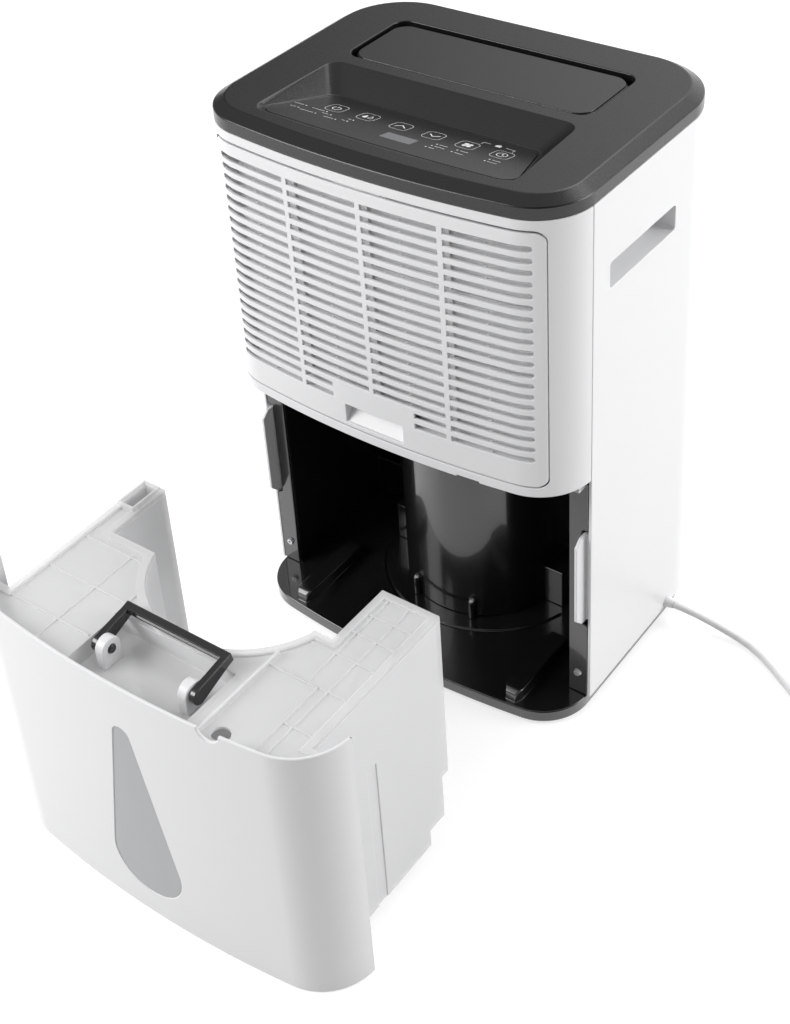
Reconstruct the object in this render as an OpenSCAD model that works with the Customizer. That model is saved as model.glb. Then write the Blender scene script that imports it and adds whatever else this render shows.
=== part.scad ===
// Compressor dehumidifier with its water tank drawn out in front of it.
// Every piece is placed as it sits in the closed machine; housed() and drawn_out()
// then carry the machine and its tank to their places about the shared origin.

/* [Body] */
// Width over the side walls
body_w = 335; // [330:1:345]
// Depth over the flats of front and back
body_d = 255; // [250:1:265]
// Height to the top of the lid
body_h = 510; // [505:1:530]
// How far the middle of the front stands out
front_bow = 8; // [6:0.5:10]
// Corner radius of the front
front_r = 48; // [44:1:50]
// Corner radius of the back
rear_r = 62; // [56:1:66]
// Wall thickness of the mouldings
wall = 2.5; // [2:0.1:3]
// Height of the lower edge of the front housing
front_low = 250; // [248:1:254]

/* [Lid and grille] */
// Height of the lid from the housing to its top
lid_h = 16; // [14:1:18]
// Width of the bevel round the lid
bevel_w = 10; // [6:1:12]
// Number of slots in each column of the grille
slot_rows = 20; // [16:1:22]
// Height of one slot
slot_h = 5; // [4:0.1:5.4]
// Half width of the removable grille
grille_hw = 150; // [148:0.5:152]

/* [Water tank] */
// How far the tank is drawn out
tank_out = 305; // [290:1:320]
// Half width of the tank behind its front cover
tank_hw = 144; // [140:0.5:145]
// Radius of the hollow that clears the compressor
tank_cut_r = 81.5; // [80:0.5:84]
// Back face of the tank
tank_back = 51; // [48:0.5:52]
// Length of the handle's arms
handle_reach = 30; // [28:0.5:31]

/* [Hidden] */
$fn = 64;
eps = 0.02;
gap = 0.3;                               // clearance between pieces that pass each other

hw = body_w/2;
hd = body_d/2;
body_y = (tank_out + front_bow)/2;       // centres machine and tank about the origin
seam_y = -82;                            // joint between front and rear housing
tray_z = 3;
tray_top = 14.5;
tray_inset = 3.5;
lid_z = body_h - lid_h;
bevel_h = 6;

// Plan of the body: two front corners, two rear corners and one long arc between
front_cx = hw - front_r;
front_cy = front_r - hd;
rear_cx = hw - rear_r;
rear_cy = hd - rear_r;
bow_reach = (front_cx*front_cx - front_bow*front_bow)/(2*front_bow);
bow_cy = front_cy + bow_reach;
bow_r = bow_cy + hd + front_bow;
bow_edge = asin(front_cx/(bow_r - front_r));     // half the angle the long arc spans
corner_steps = 22;
bow_steps = 24;

// Bay for the tank
bay_hw = 147;
bay_back = 58;
bay_top = 246;
bulge_r = 74;
bulge_y = 16;
post_x = 30;                             // screw posts in front of the bulge
post_y = -54.4;
rail_x = 113;
rail_w = 16;
rail_h = 11;
rail_y0 = -120.5;
rail_y1 = -40;

// Grille, its slots and the grip under them
grille_z0 = 260;
grille_z1 = lid_z - 10.6;
first_slot_z = lid_z - 23.5;
last_slot_z = 285.5;
slot_pitch = (first_slot_z - last_slot_z)/(slot_rows - 1);
rib_x = 71;
rib_hw = 2.3;
slot_end_x = 142;
grip_hw = 28;
hinge_y = -hd - front_bow + wall + 1.6;  // pins the grille turns on
hinge_z = grille_z1 - 0.9;

// Control recess in the lid
panel_y = -108;
panel_drop = 1.5;
panel_tilt = 11.45;

// Outlet flap
flap_hw = 110;
flap_y0 = 5;
flap_y1 = 76;
flap_axis_y = 71.5;
flap_axis_z = body_h - 8;
flap_top = body_h - 1.5;
flap_r = 15;
duct_y0 = 1.5;
duct_y1 = 81.5;
duct_hw = 112.5;

// Fan
fan_z = 362;
fan_r = 75;
scroll_r = 98;

// Tank
cover_z0 = 1.5;
cover_z1 = 246;
cover_t = 2.5;
tank_z0 = 15;
tank_z1 = 230;
tank_wall = 2;
wing_y = -96;                            // back of the part that fills the cover
lobe_x = 93;                             // inner face of the right lobe
lobe_in = 122;                           // and of the narrower left one
lobe_y = -9;
window_low = [0, 60, 33];                // x, z and radius of the window's round foot
window_high = [0, 196, 8];               // and of its round top
spout_x = 84;
spout_r = 9;
pocket_hw = 56;
pocket_y0 = -124;
pocket_y1 = -71.2;
pocket_z = 217;
handle_y = -100;
handle_z = 232;
bracket_x = 39.5;
handle_lean = 14.5;
strap_hh = 4.3;                          // half the height of the handle's strap
float_axis = [10, 212];                  // y and z of the float's hinge
chimney = [-tank_hw + 2.5, -lobe_in - 2.5, 17, 48.5];   // x and y limits of the inlet tube
drip_at = [-133, 34];                    // where the drip tray's spout comes down

// Cord
cord_d = 7;
gland_y = 52;
gland_z = 19.5;
gland_out = 8;
cord_route = [[175.5, 52, 19.4], [187, 53, 18.4], [199, 55, 15.4], [211, 57.5, 11], [223, 59, 6.9],
    [235, 59, 4.6], [249, 56, 3.6], [263, 50, 3.6], [277, 42, 3.6], [291, 33, 3.6], [305, 24, 3.6],
    [319, 15, 3.6], [333, 8, 3.6], [347, 3, 3.6], [361, 0.5, 3.6], [375, 0, 3.6]];
coil_c = [375, 44.5];
coil_r = 37.5;
coil_h = 21.2;

module housed() translate([0, body_y, 0]) children();
module drawn_out() translate([0, body_y - tank_out, 0]) children();
module both_sides() for (s = [-1, 1]) scale([s, 1, 1]) children();
module both_x(x) for (s = [-1, 1]) translate([s*x, 0, 0]) children();

function arc(c, r, a0, a1, n) = [for (i = [0:n]) c + r*[cos(a0 + (a1 - a0)*i/n), sin(a0 + (a1 - a0)*i/n)]];

// Plan of the body as points, anticlockwise, drawn in by t on every side
function plan_points(t) = concat(
    arc([front_cx, front_cy], front_r - t, bow_edge - 90, 0, corner_steps),
    arc([rear_cx, rear_cy], rear_r - t, 0, 90, corner_steps),
    arc([-rear_cx, rear_cy], rear_r - t, 90, 180, corner_steps),
    arc([-front_cx, front_cy], front_r - t, 180, 270 - bow_edge, corner_steps),
    [for (i = [1:bow_steps - 1]) [0, bow_cy] + (bow_r - t)*[sin(bow_edge*(2*i/bow_steps - 1)),
        -cos(bow_edge*(2*i/bow_steps - 1))]]);

module outline(t = 0) polygon(plan_points(t));

// Closed skin over rings of points; each ring turns anticlockwise about the way the rings run
module skin(rings) {
    n = len(rings[0]);
    last = len(rings) - 1;
    polyhedron(points = [for (r = rings) each r],
        faces = concat([[for (k = [0:n - 1]) k]], [[for (k = [n - 1:-1:0]) last*n + k]],
            [for (i = [0:last - 1], k = [0:n - 1]) [i*n + k, (i + 1)*n + k, (i + 1)*n + (k + 1)%n, i*n + (k + 1)%n]]));
}

// Ring of the body's plan at height z, drawn in by t
function plan_ring(t, z) = [for (p = plan_points(t)) [p[0], p[1], z]];

module half_plan(y0, y1) translate([-200, y0]) square([400, y1 - y0]);

module wall_of(t0, t1, y0, y1) {
    intersection() {
        difference() { outline(t0); outline(t1); }
        half_plan(y0, y1);
    }
}

module rounded_box(x0, x1, y0, y1, r) {
    translate([x0 + r, y0]) square([x1 - x0 - 2*r, y1 - y0]);
    translate([x0, y0 + r]) square([x1 - x0, y1 - y0 - 2*r]);
    for (x = [x0 + r, x1 - r], y = [y0 + r, y1 - r]) translate([x, y]) circle(r = r);
}

module box(a, b) translate(a) cube(b - a);

// ---------------------------------------------------------------- base

module base_tray() housed() color("#1b1b1d") {
    difference() {
        translate([0, 0, tray_z]) linear_extrude(tray_top - tray_z) outline(tray_inset);
        difference() {
            translate([0, 0, tray_z - 1]) linear_extrude(tray_top - tray_z - 2) outline(tray_inset + wall);
            for (x = [-110, -55, 0, 55, 110]) box([x - 1, -150, 0], [x + 1, 150, 20]);
            for (y = [-75, 0, 75]) box([-200, y - 1, 0], [200, y + 1, 20]);
            foot_places() cylinder(h = 20, r = 15);
        }
        foot_places() translate([0, 0, tray_z - 1]) cylinder(h = 4, r = 9.9);
        tray_groove();
    }
    both_x(rail_x) rail();
}

// Shallow groove in the floor that runs round the compressor bulge
module tray_groove() {
    intersection() {
        translate([0, 24, tray_top - 1]) difference() {
            cylinder(h = 3, r = 101, $fn = 128);
            translate([0, 0, -1]) cylinder(h = 5, r = 99, $fn = 128);
        }
        box([-95, -90, 0], [95, -8, 30]);
    }
}

mount_angles = [90, 210, 330];

module rotate_about(x, y, a) translate([x, y, 0]) rotate([0, 0, a]) children();

module foot_places() for (x = [-118, 118], y = [-88, 84]) translate([x, y, 0]) children();

// Runner for the tank, nosed at its front end
module rail() {
    translate([0, 0, tray_top]) difference() {
        linear_extrude(rail_h)
            polygon([[-rail_w/2, rail_y1], [-rail_w/2, rail_y0 + 7], [-5, rail_y0], [5, rail_y0],
                [rail_w/2, rail_y0 + 7], [rail_w/2, rail_y1]]);
        translate([-10, rail_y0, rail_h - 3]) rotate([35, 0, 0]) translate([0, -12, 0]) cube([20, 20, 12]);
    }
}

module rubber_feet() housed() color("#2a2a2a")
    foot_places() {
        cylinder(h = tray_z, r1 = 8.5, r2 = 9.6);
        translate([0, 0, tray_z - eps]) cylinder(h = 3 + eps, r = 9.6);
    }

// ---------------------------------------------------------------- housings

module front_housing() housed() color("#f4f5f6") {
    difference() {
        union() {
            translate([0, 0, front_low]) linear_extrude(lid_z - front_low - 0.6) wall_of(0, wall, -150, seam_y - 0.4);
            translate([0, 0, front_low]) linear_extrude(wall)
                intersection() { outline(1); half_plan(-150, seam_y - 0.4); }
        }
        grille_hole();
        box([76, -150, front_low - 1], [96, -120, front_low + 1.4]);
    }
    grille_seat();
    both_sides() hinge_lug();
}

// Opening for the grille, with room above it for the edge that turns
module grille_hole() {
    rotate([90, 0, 0]) translate([0, 0, 100]) linear_extrude(60)
        rounded_box(-grille_hw - 0.8, grille_hw + 0.8, grille_z0 - 1.6, grille_z1 + 2, 9);
}

// Strips behind both sides of the grille, which it closes against
module grille_seat() {
    translate([0, 0, grille_z0 + 6]) linear_extrude(grille_z1 - grille_z0 - 12) difference() {
        wall_of(wall - 0.1, wall + 1.8, -150, -104);
        intersection() {
            wall_of(0, wall + 0.35, -150, -100);
            translate([-grille_hw - 0.8, -150]) square([2*grille_hw + 1.6, 60]);
        }
        translate([-146.5, -150]) square([293, 60]);
    }
}

// Lug under the header and the pin it holds for one end of the grille's barrel
module hinge_lug() {
    box([20.6, hinge_y - 1.7, grille_z1 + 2.2], [24.6, hinge_y + 2.5, grille_z1 + 7]);
    box([20.6, hinge_y - 0.7, hinge_z - 2], [24.6, hinge_y + 2.5, grille_z1 + 2.4]);
    translate([14.6, hinge_y, hinge_z]) rotate([0, 90, 0]) cylinder(h = 8, r = 0.94, $fn = 24);
}

module rear_housing() housed() color("#f4f5f6") {
    difference() {
        union() {
            translate([0, 0, tray_top]) linear_extrude(lid_z - tray_top - 0.6) wall_of(0, wall, seam_y + 0.4, 150);
            both_sides() side_tongue();
            both_sides() carry_cup();
            drain_boss();
        }
        both_sides() carry_cut();
        translate([-80, hd + 1, 40]) rotate([90, 0, 0]) cylinder(h = 12, r = 9);
        // notch for the cord in the lower edge
        box([hw - 4, gland_y - 5, tray_top - 1], [hw + 1, gland_y + 5, gland_z]);
        translate([hw - 4, gland_y, gland_z]) rotate([0, 90, 0]) cylinder(h = 5, r = 5);
        screw_places() {
            cylinder(h = 12, r = 1.7, center = true);
            translate([0, 0, -2]) cylinder(h = 2, r = 3.2);
        }
    }
}

// Tongue that reaches over the tank's wing and stiffens the free edge of the side
module side_tongue() {
    translate([hw - 8.2, 0, 0]) rotate([90, 0, 90]) linear_extrude(2.6)
        polygon([[seam_y + 12, 98], [seam_y - 4, 100], [seam_y - 12, 108], [seam_y - 12, 186],
            [seam_y - 5, 192], [seam_y + 12, 192]]);
    box([hw - 8.2, seam_y + 3, 100], [hw - wall + eps, seam_y + 12, 190]);
}

// Hollow grip moulded into each side
module carry_cut() {
    translate([hw - 18, 0, 0]) rotate([90, 0, 90]) linear_extrude(30)
        polygon([[-56, 412], [38, 412], [40, 414], [40, 432], [38, 434], [-56, 434], [-58, 432], [-58, 414]]);
}

module carry_cup() {
    difference() {
        box([hw - 20, -60, 410], [hw - wall + eps, 42, 436]);
        carry_cut();
    }
}

module drain_boss() {
    translate([-80, hd - wall + eps, 40]) rotate([90, 0, 0]) difference() {
        cylinder(h = 8, r = 13);
        translate([0, 0, -1]) cylinder(h = 12, r = 9);
    }
}

module screw_places() for (x = [-95, 0, 95], z = [60, 440]) translate([x, hd - 1.2, z]) rotate([90, 0, 0]) children();

module housing_screws() housed() color("#8d9093")
    screw_places() difference() {
        union() {
            translate([0, 0, -1]) cylinder(h = 1, r = 3);
            translate([0, 0, -eps]) cylinder(h = 9, r = 1.6);
        }
        translate([0, 0, -2]) for (a = [0, 90]) rotate([0, 0, a]) translate([-1.8, -0.35, 0]) cube([3.6, 0.7, 1.7]);
    }

module panel_clips() housed() color("#c9cdd0", 0.7)
    both_sides() difference() {
        box([hw - 16, seam_y - 10, front_low - 8], [hw - 5.2, seam_y - 1, front_low]);
        box([hw - 14.5, seam_y - 11, front_low - 6.5], [hw - 6.7, seam_y - 2.5, front_low - 2]);
    }

// ---------------------------------------------------------------- tank bay

module bay_plan(t = 0) {
    difference() {
        translate([-(bay_hw + t), seam_y + 2]) square([2*(bay_hw + t), bay_back + t - seam_y - 2]);
        bulge_plan(-t);
    }
}

module bulge_plan(t = 0) {
    translate([0, bulge_y]) circle(r = bulge_r + t, $fn = 128);
    translate([-(bulge_r + t), bulge_y]) square([2*(bulge_r + t), 120]);
}

module bay_liner() housed() color("#121214") {
    difference() {
        union() {
            translate([0, 0, tray_top]) linear_extrude(bay_top - tray_top) difference() { bay_plan(2); bay_plan(0); }
            translate([0, 0, bay_top]) linear_extrude(2) bay_plan(2);
            both_sides() flange();
            both_sides() corner_box();
            both_sides() foot_box();
            screw_posts();
            // collar round the head of the bulge
            translate([0, 0, 226]) linear_extrude(3) intersection() {
                difference() { bulge_plan(1.5); bulge_plan(-1); }
                half_plan(-100, 40);
            }
        }
        // way in for the drip tray's spout, above the tank's inlet tube
        translate([drip_at[0], drip_at[1], bay_top - 2]) cylinder(h = 8, r = 8.5);
        screw_bores();
    }
}

// Front strip that closes the gap between the bay and the side wall
module flange() {
    translate([0, seam_y + 0.6, 0]) rotate([90, 0, 0]) translate([0, 0, -2]) linear_extrude(2)
        polygon([[bay_hw - eps, tray_top], [hw - 3.2, tray_top], [hw - 3.2, 94], [hw - 8.6, 96], [hw - 8.6, 195],
            [hw - 3.2, 197], [hw - 3.2, bay_top - 2], [hw - 8.5, bay_top], [bay_hw - eps, bay_top]]);
}

// Boxed corners at the back of the bay, under the steps in the tank's floor
module corner_box() {
    difference() {
        box([104, 46, tray_top], [bay_hw + eps, bay_back + eps, 57]);
        box([106, 48, tray_top - 1], [bay_hw + 3, bay_back + 3, 55]);
    }
}

// Boxed steps on the floor, one at each side of the bulge
module foot_box() {
    difference() {
        box([71, 0, tray_top], [91, 34, 54]);
        box([73, 2, tray_top - 1], [89, 32, 52]);
    }
}

module screw_posts() both_x(post_x) translate([0, post_y, tray_top]) cylinder(h = 20, r = 3.5);

module screw_bores() {
    both_x(post_x) translate([0, post_y, tray_top + 10]) cylinder(h = 12, r = 1.6);
    both_x(155.5) translate([0, seam_y, 38]) rotate([90, 0, 0]) cylinder(h = 10, r = 1.6, center = true);
}

module liner_screws() housed() color("#9a9da0") {
    both_x(post_x) translate([0, post_y, tray_top + 20]) pan_screw(9, 2.6);
    both_x(155.5) translate([0, seam_y + 0.6, 38]) rotate([90, 0, 0]) pan_screw(8, 3.5);
}

module pan_screw(l, r) {
    difference() {
        cylinder(h = 2, r1 = r, r2 = r - 0.7);
        translate([0, 0, 1]) for (a = [0, 90]) rotate([0, 0, a]) translate([-r/2, -0.4, 0]) cube([r, 0.8, 2]);
    }
    translate([0, 0, -l]) cylinder(h = l, r = 1.55);
}

// ---------------------------------------------------------------- refrigeration

module compressor() housed() color("#202124") {
    translate([0, bulge_y + 4, 0]) {
        translate([0, 0, 24]) cylinder(h = 10, r = 36);
        rotate_extrude($fn = 96) polygon(concat([[0, 33], [40, 33]],
            [for (a = [-75:15:0]) [40 + 14*cos(a), 47 + 14*sin(a)]],
            [for (a = [0:15:90]) [34 + 20*cos(a), 196 + 20*sin(a)]], [[0, 216]]));
        difference() {
            for (a = mount_angles) rotate([0, 0, a]) translate([20, -11, 24]) cube([38, 22, 3.02]);
            for (a = mount_angles) rotate([0, 0, a]) translate([48, 0, 20]) cylinder(h = 10, r = 5.05);
        }
        translate([0, 0, 216 - eps]) cylinder(h = 6, r = 14);
        translate([12, -22, 212]) cylinder(h = 14, r = 3.2);
    }
}

module compressor_mounts() housed() color("#2b2b2b")
    for (a = mount_angles) rotate_about(0, bulge_y + 4, a) translate([48, 0, 0]) {
        translate([0, 0, tray_top]) cylinder(h = 9.5, r = 8);
        translate([0, 0, 24]) cylinder(h = 3.04, r = 5);
        translate([0, 0, 27.02]) cylinder(h = 3, r = 7);
    }

module suction_accumulator() housed() color("#26272a")
    translate([40, 88, 0]) {
        rotate_extrude($fn = 64) polygon(concat([[0, 60], [12, 60]],
            [for (a = [-90:22.5:0]) [12 + 8*cos(a), 68 + 8*sin(a)]],
            [for (a = [0:22.5:90]) [12 + 8*cos(a), 172 + 8*sin(a)]], [[0, 180]]));
        translate([0, 0, 180 - eps]) cylinder(h = 10, r = 4);
    }

coil_hw = 128;
coil_z0 = 264;
coil_z1 = 472;

// Finned coil: end plates, a fin stack cut in from both faces, and hairpin bends
module finned_coil(y0, y1, rows, bend_r) {
    difference() {
        box([-coil_hw, y0, coil_z0], [coil_hw, y1, coil_z1]);
        for (i = [0:30]) translate([-coil_hw + 5 + i*8.1, y0 - 1, coil_z0 - 1]) cube([2.6, 5, coil_z1 - coil_z0 + 2]);
    }
    pitch = (coil_z1 - coil_z0)/rows;
    for (i = [1:rows - 1]) {
        side = i%2 == 1 ? -1 : 1;
        translate([side*(coil_hw - eps), (y0 + y1)/2, coil_z0 + i*pitch])
            rotate([90, 0, side > 0 ? 0 : 180]) rotate([0, 0, -90])
                rotate_extrude(angle = 180, $fn = 48) translate([pitch/2, 0]) circle(r = bend_r, $fn = 24);
    }
}

module evaporator() housed() color("#c3c8cb") finned_coil(-110, -86, 8, 4);

module condenser() housed() color("#b9bec2") finned_coil(-76, -52, 8, 4);

// Tube of radius r along straight runs, rounded at each corner
module pipe(p, r) {
    for (i = [0:len(p) - 2]) {
        d = p[i + 1] - p[i];
        translate(p[i]) rotate([0, acos(d[2]/norm(d)), atan2(d[1], d[0])]) cylinder(h = norm(d), r = r, $fn = 32);
    }
    for (i = [1:len(p) - 2]) translate(p[i]) sphere(r = r, $fn = 32);
}

module refrigerant_pipes() housed() color("#b87333") {
    // hot gas from the compressor to the condenser
    pipe([[12, -2, 226], [12, -2, 256], [148, -2, 256], [148, -2, 277], [148, -64, 277], [coil_hw, -64, 277]], 3);
    // capillary from the condenser to the evaporator
    pipe([[coil_hw, -64, 459], [142, -64, 459], [142, -98, 459], [coil_hw, -98, 459]], 1.5);
    // cold gas back from the evaporator
    pipe([[coil_hw, -98, 277], [155.5, -98, 277], [155.5, 86, 277], [40, 86, 277], [40, 86, 190]], 3.5);
}

module drip_tray() housed() color("#d8dcdf") {
    difference() {
        union() {
            box([-134, -116, 253], [134, -44, 266]);
            box([-142, -46, 253], [-124, 43, 266]);
            translate([drip_at[0], drip_at[1], 243.6]) cylinder(h = 10, r = 7.5);
        }
        box([-132, -114, 255], [132, -46, 267]);
        box([-140, -47, 255], [-126, 41, 267]);
        translate([drip_at[0], drip_at[1], 243]) cylinder(h = 14, r = 5);
    }
    // saddles that hold both coils above the water
    for (x = [-100, 0, 100]) box([x - 3, -112, 255 - eps], [x + 3, -50, coil_z0]);
}

// ---------------------------------------------------------------- air path

module scroll_plan(t = 0) {
    translate([0, fan_z]) circle(r = scroll_r + t, $fn = 128);
    polygon([[-(scroll_r + t), fan_z], [scroll_r + t, fan_z], [duct_hw - 2 + t, 470], [duct_hw - 2 + t, lid_z - 5],
        [-(duct_hw - 2 + t), lid_z - 5], [-(duct_hw - 2 + t), 470]]);
}

module fan_scroll() housed() color("#e3e5e7") {
    difference() {
        translate([0, duct_y1, 0]) rotate([90, 0, 0]) linear_extrude(duct_y1 - duct_y0) scroll_plan(2);
        translate([0, duct_y1 - 2, -0.01]) rotate([90, 0, 0]) linear_extrude(duct_y1 - duct_y0 - 4) union() {
            scroll_plan(0);
            translate([-(duct_hw - 2), 480]) square([2*(duct_hw - 2), 20]);
        }
        translate([0, duct_y0 + 3, fan_z]) rotate([90, 0, 0]) cylinder(h = 8, r = 64, $fn = 96);
        translate([0, duct_y1 + 3, fan_z]) rotate([90, 0, 0]) cylinder(h = 8, r = 30);
    }
}

module fan_motor() housed() color("#3a3d40") {
    translate([0, duct_y1 + 0.1, fan_z]) rotate([-90, 0, 0]) {
        cylinder(h = 3, r = 46, $fn = 96);
        translate([0, 0, 3 - eps]) rotate_extrude($fn = 96)
            polygon([[0, 0], [40, 0], [40, 26], [36, 34], [14, 34], [14, 38], [0, 38]]);
    }
    translate([0, duct_y1 + 1, fan_z]) rotate([90, 0, 0]) cylinder(h = 62, r = 4);
}

// Forward-curved blower wheel
module fan_wheel() housed() color("#2f3236") {
    blades = 30;
    translate([0, 69, fan_z]) rotate([90, 0, 0]) {
        difference() {
            union() {
                cylinder(h = 3, r = fan_r, $fn = 96);
                cylinder(h = 26, r = 12);
                translate([0, 0, 3 - eps]) cylinder(h = 12, r1 = 40, r2 = 12);
            }
            translate([0, 0, -1]) cylinder(h = 30, r = 4.06);
        }
        for (z = [26, 50]) translate([0, 0, z]) difference() {
            cylinder(h = 2.5, r = fan_r, $fn = 96);
            translate([0, 0, -1]) cylinder(h = 5, r = fan_r - 3, $fn = 96);
        }
        for (i = [0:blades - 1]) rotate([0, 0, i*360/blades]) translate([63.5, 0, 3 - eps])
            rotate([0, 0, 28]) translate([-5, -0.6, 0]) cube([15.2, 1.2, 49]);
    }
}

module outlet_guard() housed() color("#141416") {
    z0 = lid_z - 12;
    difference() {
        box([2 - duct_hw, duct_y0 + 2, z0], [duct_hw - 2, duct_y1 - 2, z0 + 3]);
        for (i = [0:14]) for (j = [0, 1]) translate([-103.5 + i*14.1, duct_y0 + 6 + j*34.5, z0 - 1])
            cube([12.2, 29, 5]);
    }
}

// ---------------------------------------------------------------- lid and controls

module top_lid() housed() color("#37383a") {
    difference() {
        union() {
            skin([plan_ring(0, lid_z), plan_ring(0, body_h - bevel_h), plan_ring(bevel_w, body_h)]);
            translate([0, 0, lid_z - 5]) linear_extrude(5 + eps) rounded_box(-122, 122, -116, -6, 8);
        }
        // hollow underside, left solid round the recess and the outlet
        difference() {
            translate([0, 0, lid_z - 1]) linear_extrude(lid_h - 3.5) outline(9);
            box([-122, -116, 0], [122, -6, 600]);
            box([-121, duct_y0 - 5, 0], [121, 90, 600]);
        }
        recess_cut();
        panel_frame() translate([0, 0, -1.4]) linear_extrude(4) panel_plan(0);
        outlet_cut();
        translate([0, flap_axis_y, flap_axis_z]) rotate([0, 90, 0]) cylinder(h = 2*122, r = 2.56, center = true);
    }
}

// Tilted plane of the controls, its first line along the front of the recess
module panel_frame() translate([0, panel_y, body_h - panel_drop]) rotate([-panel_tilt, 0, 0]) children();

module recess_cut() {
    hull() {
        for (s = [-1, 1]) {
            translate([s*103, -22, body_h]) cylinder(h = 1, r = 11, $fn = 32);
            translate([s*106, -98, body_h]) cylinder(h = 1, r = 11, $fn = 32);
            translate([s*58, -101.4, body_h]) cylinder(h = 1, r = 11, $fn = 32);
            panel_frame() translate([s*56, 9.4, 0]) cylinder(h = 0.5, r = 11, $fn = 32);
            panel_frame() translate([s*89, 66, 0]) cylinder(h = 0.5, r = 11, $fn = 32);
            panel_frame() translate([s*104, 12, 0]) cylinder(h = 0.5, r = 11, $fn = 32);
        }
        translate([0, -102.6, body_h]) cylinder(h = 1, r = 11, $fn = 32);
        panel_frame() translate([0, 8.4, 0]) cylinder(h = 0.5, r = 11, $fn = 32);
    }
}

module panel_plan(t) {
    hull() {
        for (s = [-1, 1]) {
            translate([s*87, 62]) circle(r = 11 - t, $fn = 32);
            translate([s*101, 15]) circle(r = 12 - t, $fn = 32);
            translate([s*55, 12.6]) circle(r = 12 - t, $fn = 32);
        }
        translate([0, 11.6]) circle(r = 12 - t, $fn = 32);
    }
}

module outlet_cut() {
    translate([0, 0, lid_z - 10]) linear_extrude(40) rounded_box(-duct_hw, duct_hw, duct_y0 + 1, duct_y1 - 1, 12);
}

module control_panel() housed() color("#3c3d3f") {
    difference() {
        panel_frame() translate([0, 0, -1.4]) linear_extrude(1.4) panel_plan(0.5);
        panel_frame() translate([-11, 18, -0.7]) cube([28, 13, 2]);
    }
}

module display_window() housed() color("#77797c")
    panel_frame() translate([-10.8, 18.2, -0.68]) cube([27.6, 12.6, 0.66]);

module lid_gasket() housed() color("#0c0c0d") {
    translate([0, 0, lid_z - 0.58]) linear_extrude(0.56) difference() { outline(0.9); outline(2.4); }
}

module control_board() housed() color("#1f5b3a") {
    box([-100, -100, 478], [100, -50, 479.6]);
    for (x = [-90, -30, 30, 90], y = [-95, -55]) translate([x, y, 479.6 - eps]) cylinder(h = lid_z - 5 - 479.6 + eps, r = 3);
    box([-20, -88, 479.6], [20, -70, 484]);
    box([40, -80, 479.6], [70, -60, 486]);
}

module electrics_box() housed() color("#dfe2e4") {
    difference() {
        box([-140, 66, 124], [-70, 112, 236]);
        box([-138, 68, 126], [-72, 113, 234]);
    }
    box([-134, 68 - eps, 130], [-76, 71.6, 230]);
    for (z = [138, 168, 198]) box([-112, 71.6 - eps, z], [-84, 92, z + 22]);
    // tabs that hang the box on the bay liner
    for (z = [140, 200]) box([-110, bay_back + 2, z], [-100, 66 + eps, z + 12]);
}

module run_capacitor() housed() color("#d9d9d6")
    translate([-110, 84, tray_top]) {
        cylinder(h = 78, r = 19);
        for (x = [-6, 6]) translate([x - 0.4, -3, 78 - eps]) cube([0.8, 6, 9]);
    }

module humidity_sensor() housed() color("#e9ebec") {
    difference() {
        box([-162, -70, 452], [-150, -56, 474]);
        for (z = [456:4:470]) box([-158, -71, z], [-154, -60, z + 2]);
    }
}

// Reed sensor behind the bay's wall, level with the float's magnet
module float_sensor() housed() color("#1c1c1e") {
    box([bay_hw + 2, -36, 192], [bay_hw + 10, -16, 216]);
    translate([bay_hw + 6, -26, 216 - eps]) cylinder(h = 8, r = 2);
}

// ---------------------------------------------------------------- outlet flap

module flap_motor() housed() color("#e8e8e8")
    rotate([0, 90, 0]) {
        translate([-flap_axis_z + 5, flap_axis_y, 122]) cylinder(h = 14, r = 8);
        translate([-flap_axis_z, flap_axis_y, 118.5]) cylinder(h = 3.5 + eps, r = 2.4);
    }

module outlet_flap() housed() color("#404244") {
    difference() {
        union() {
            translate([0, 0, flap_top - 4.5]) linear_extrude(3) rounded_box(-flap_hw, flap_hw, flap_y0, flap_y1, flap_r);
            translate([0, 0, flap_top - 1.5 - eps]) linear_extrude(1.5)
                rounded_box(-flap_hw + 1, flap_hw - 1, flap_y0 + 1, flap_y1 - 1, flap_r - 1);
            for (x = [-90, -45, 0, 45, 90]) box([x - 1, flap_y0 + 10, flap_top - 8], [x + 1, flap_y1 - 12, flap_top - 4.4]);
            both_x(95) translate([0, flap_axis_y, flap_axis_z]) rotate([0, 90, 0]) cylinder(h = 6, r = 4.2, center = true);
            both_x(95) box([-3, flap_axis_y - 3.5, flap_axis_z], [3, flap_axis_y + 3.5, flap_top - 4.4]);
            both_x(107) translate([0, flap_axis_y, flap_axis_z]) rotate([0, 90, 0]) cylinder(h = 22, r = 2.5, center = true);
        }
    }
}

// ---------------------------------------------------------------- grille and filter

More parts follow.
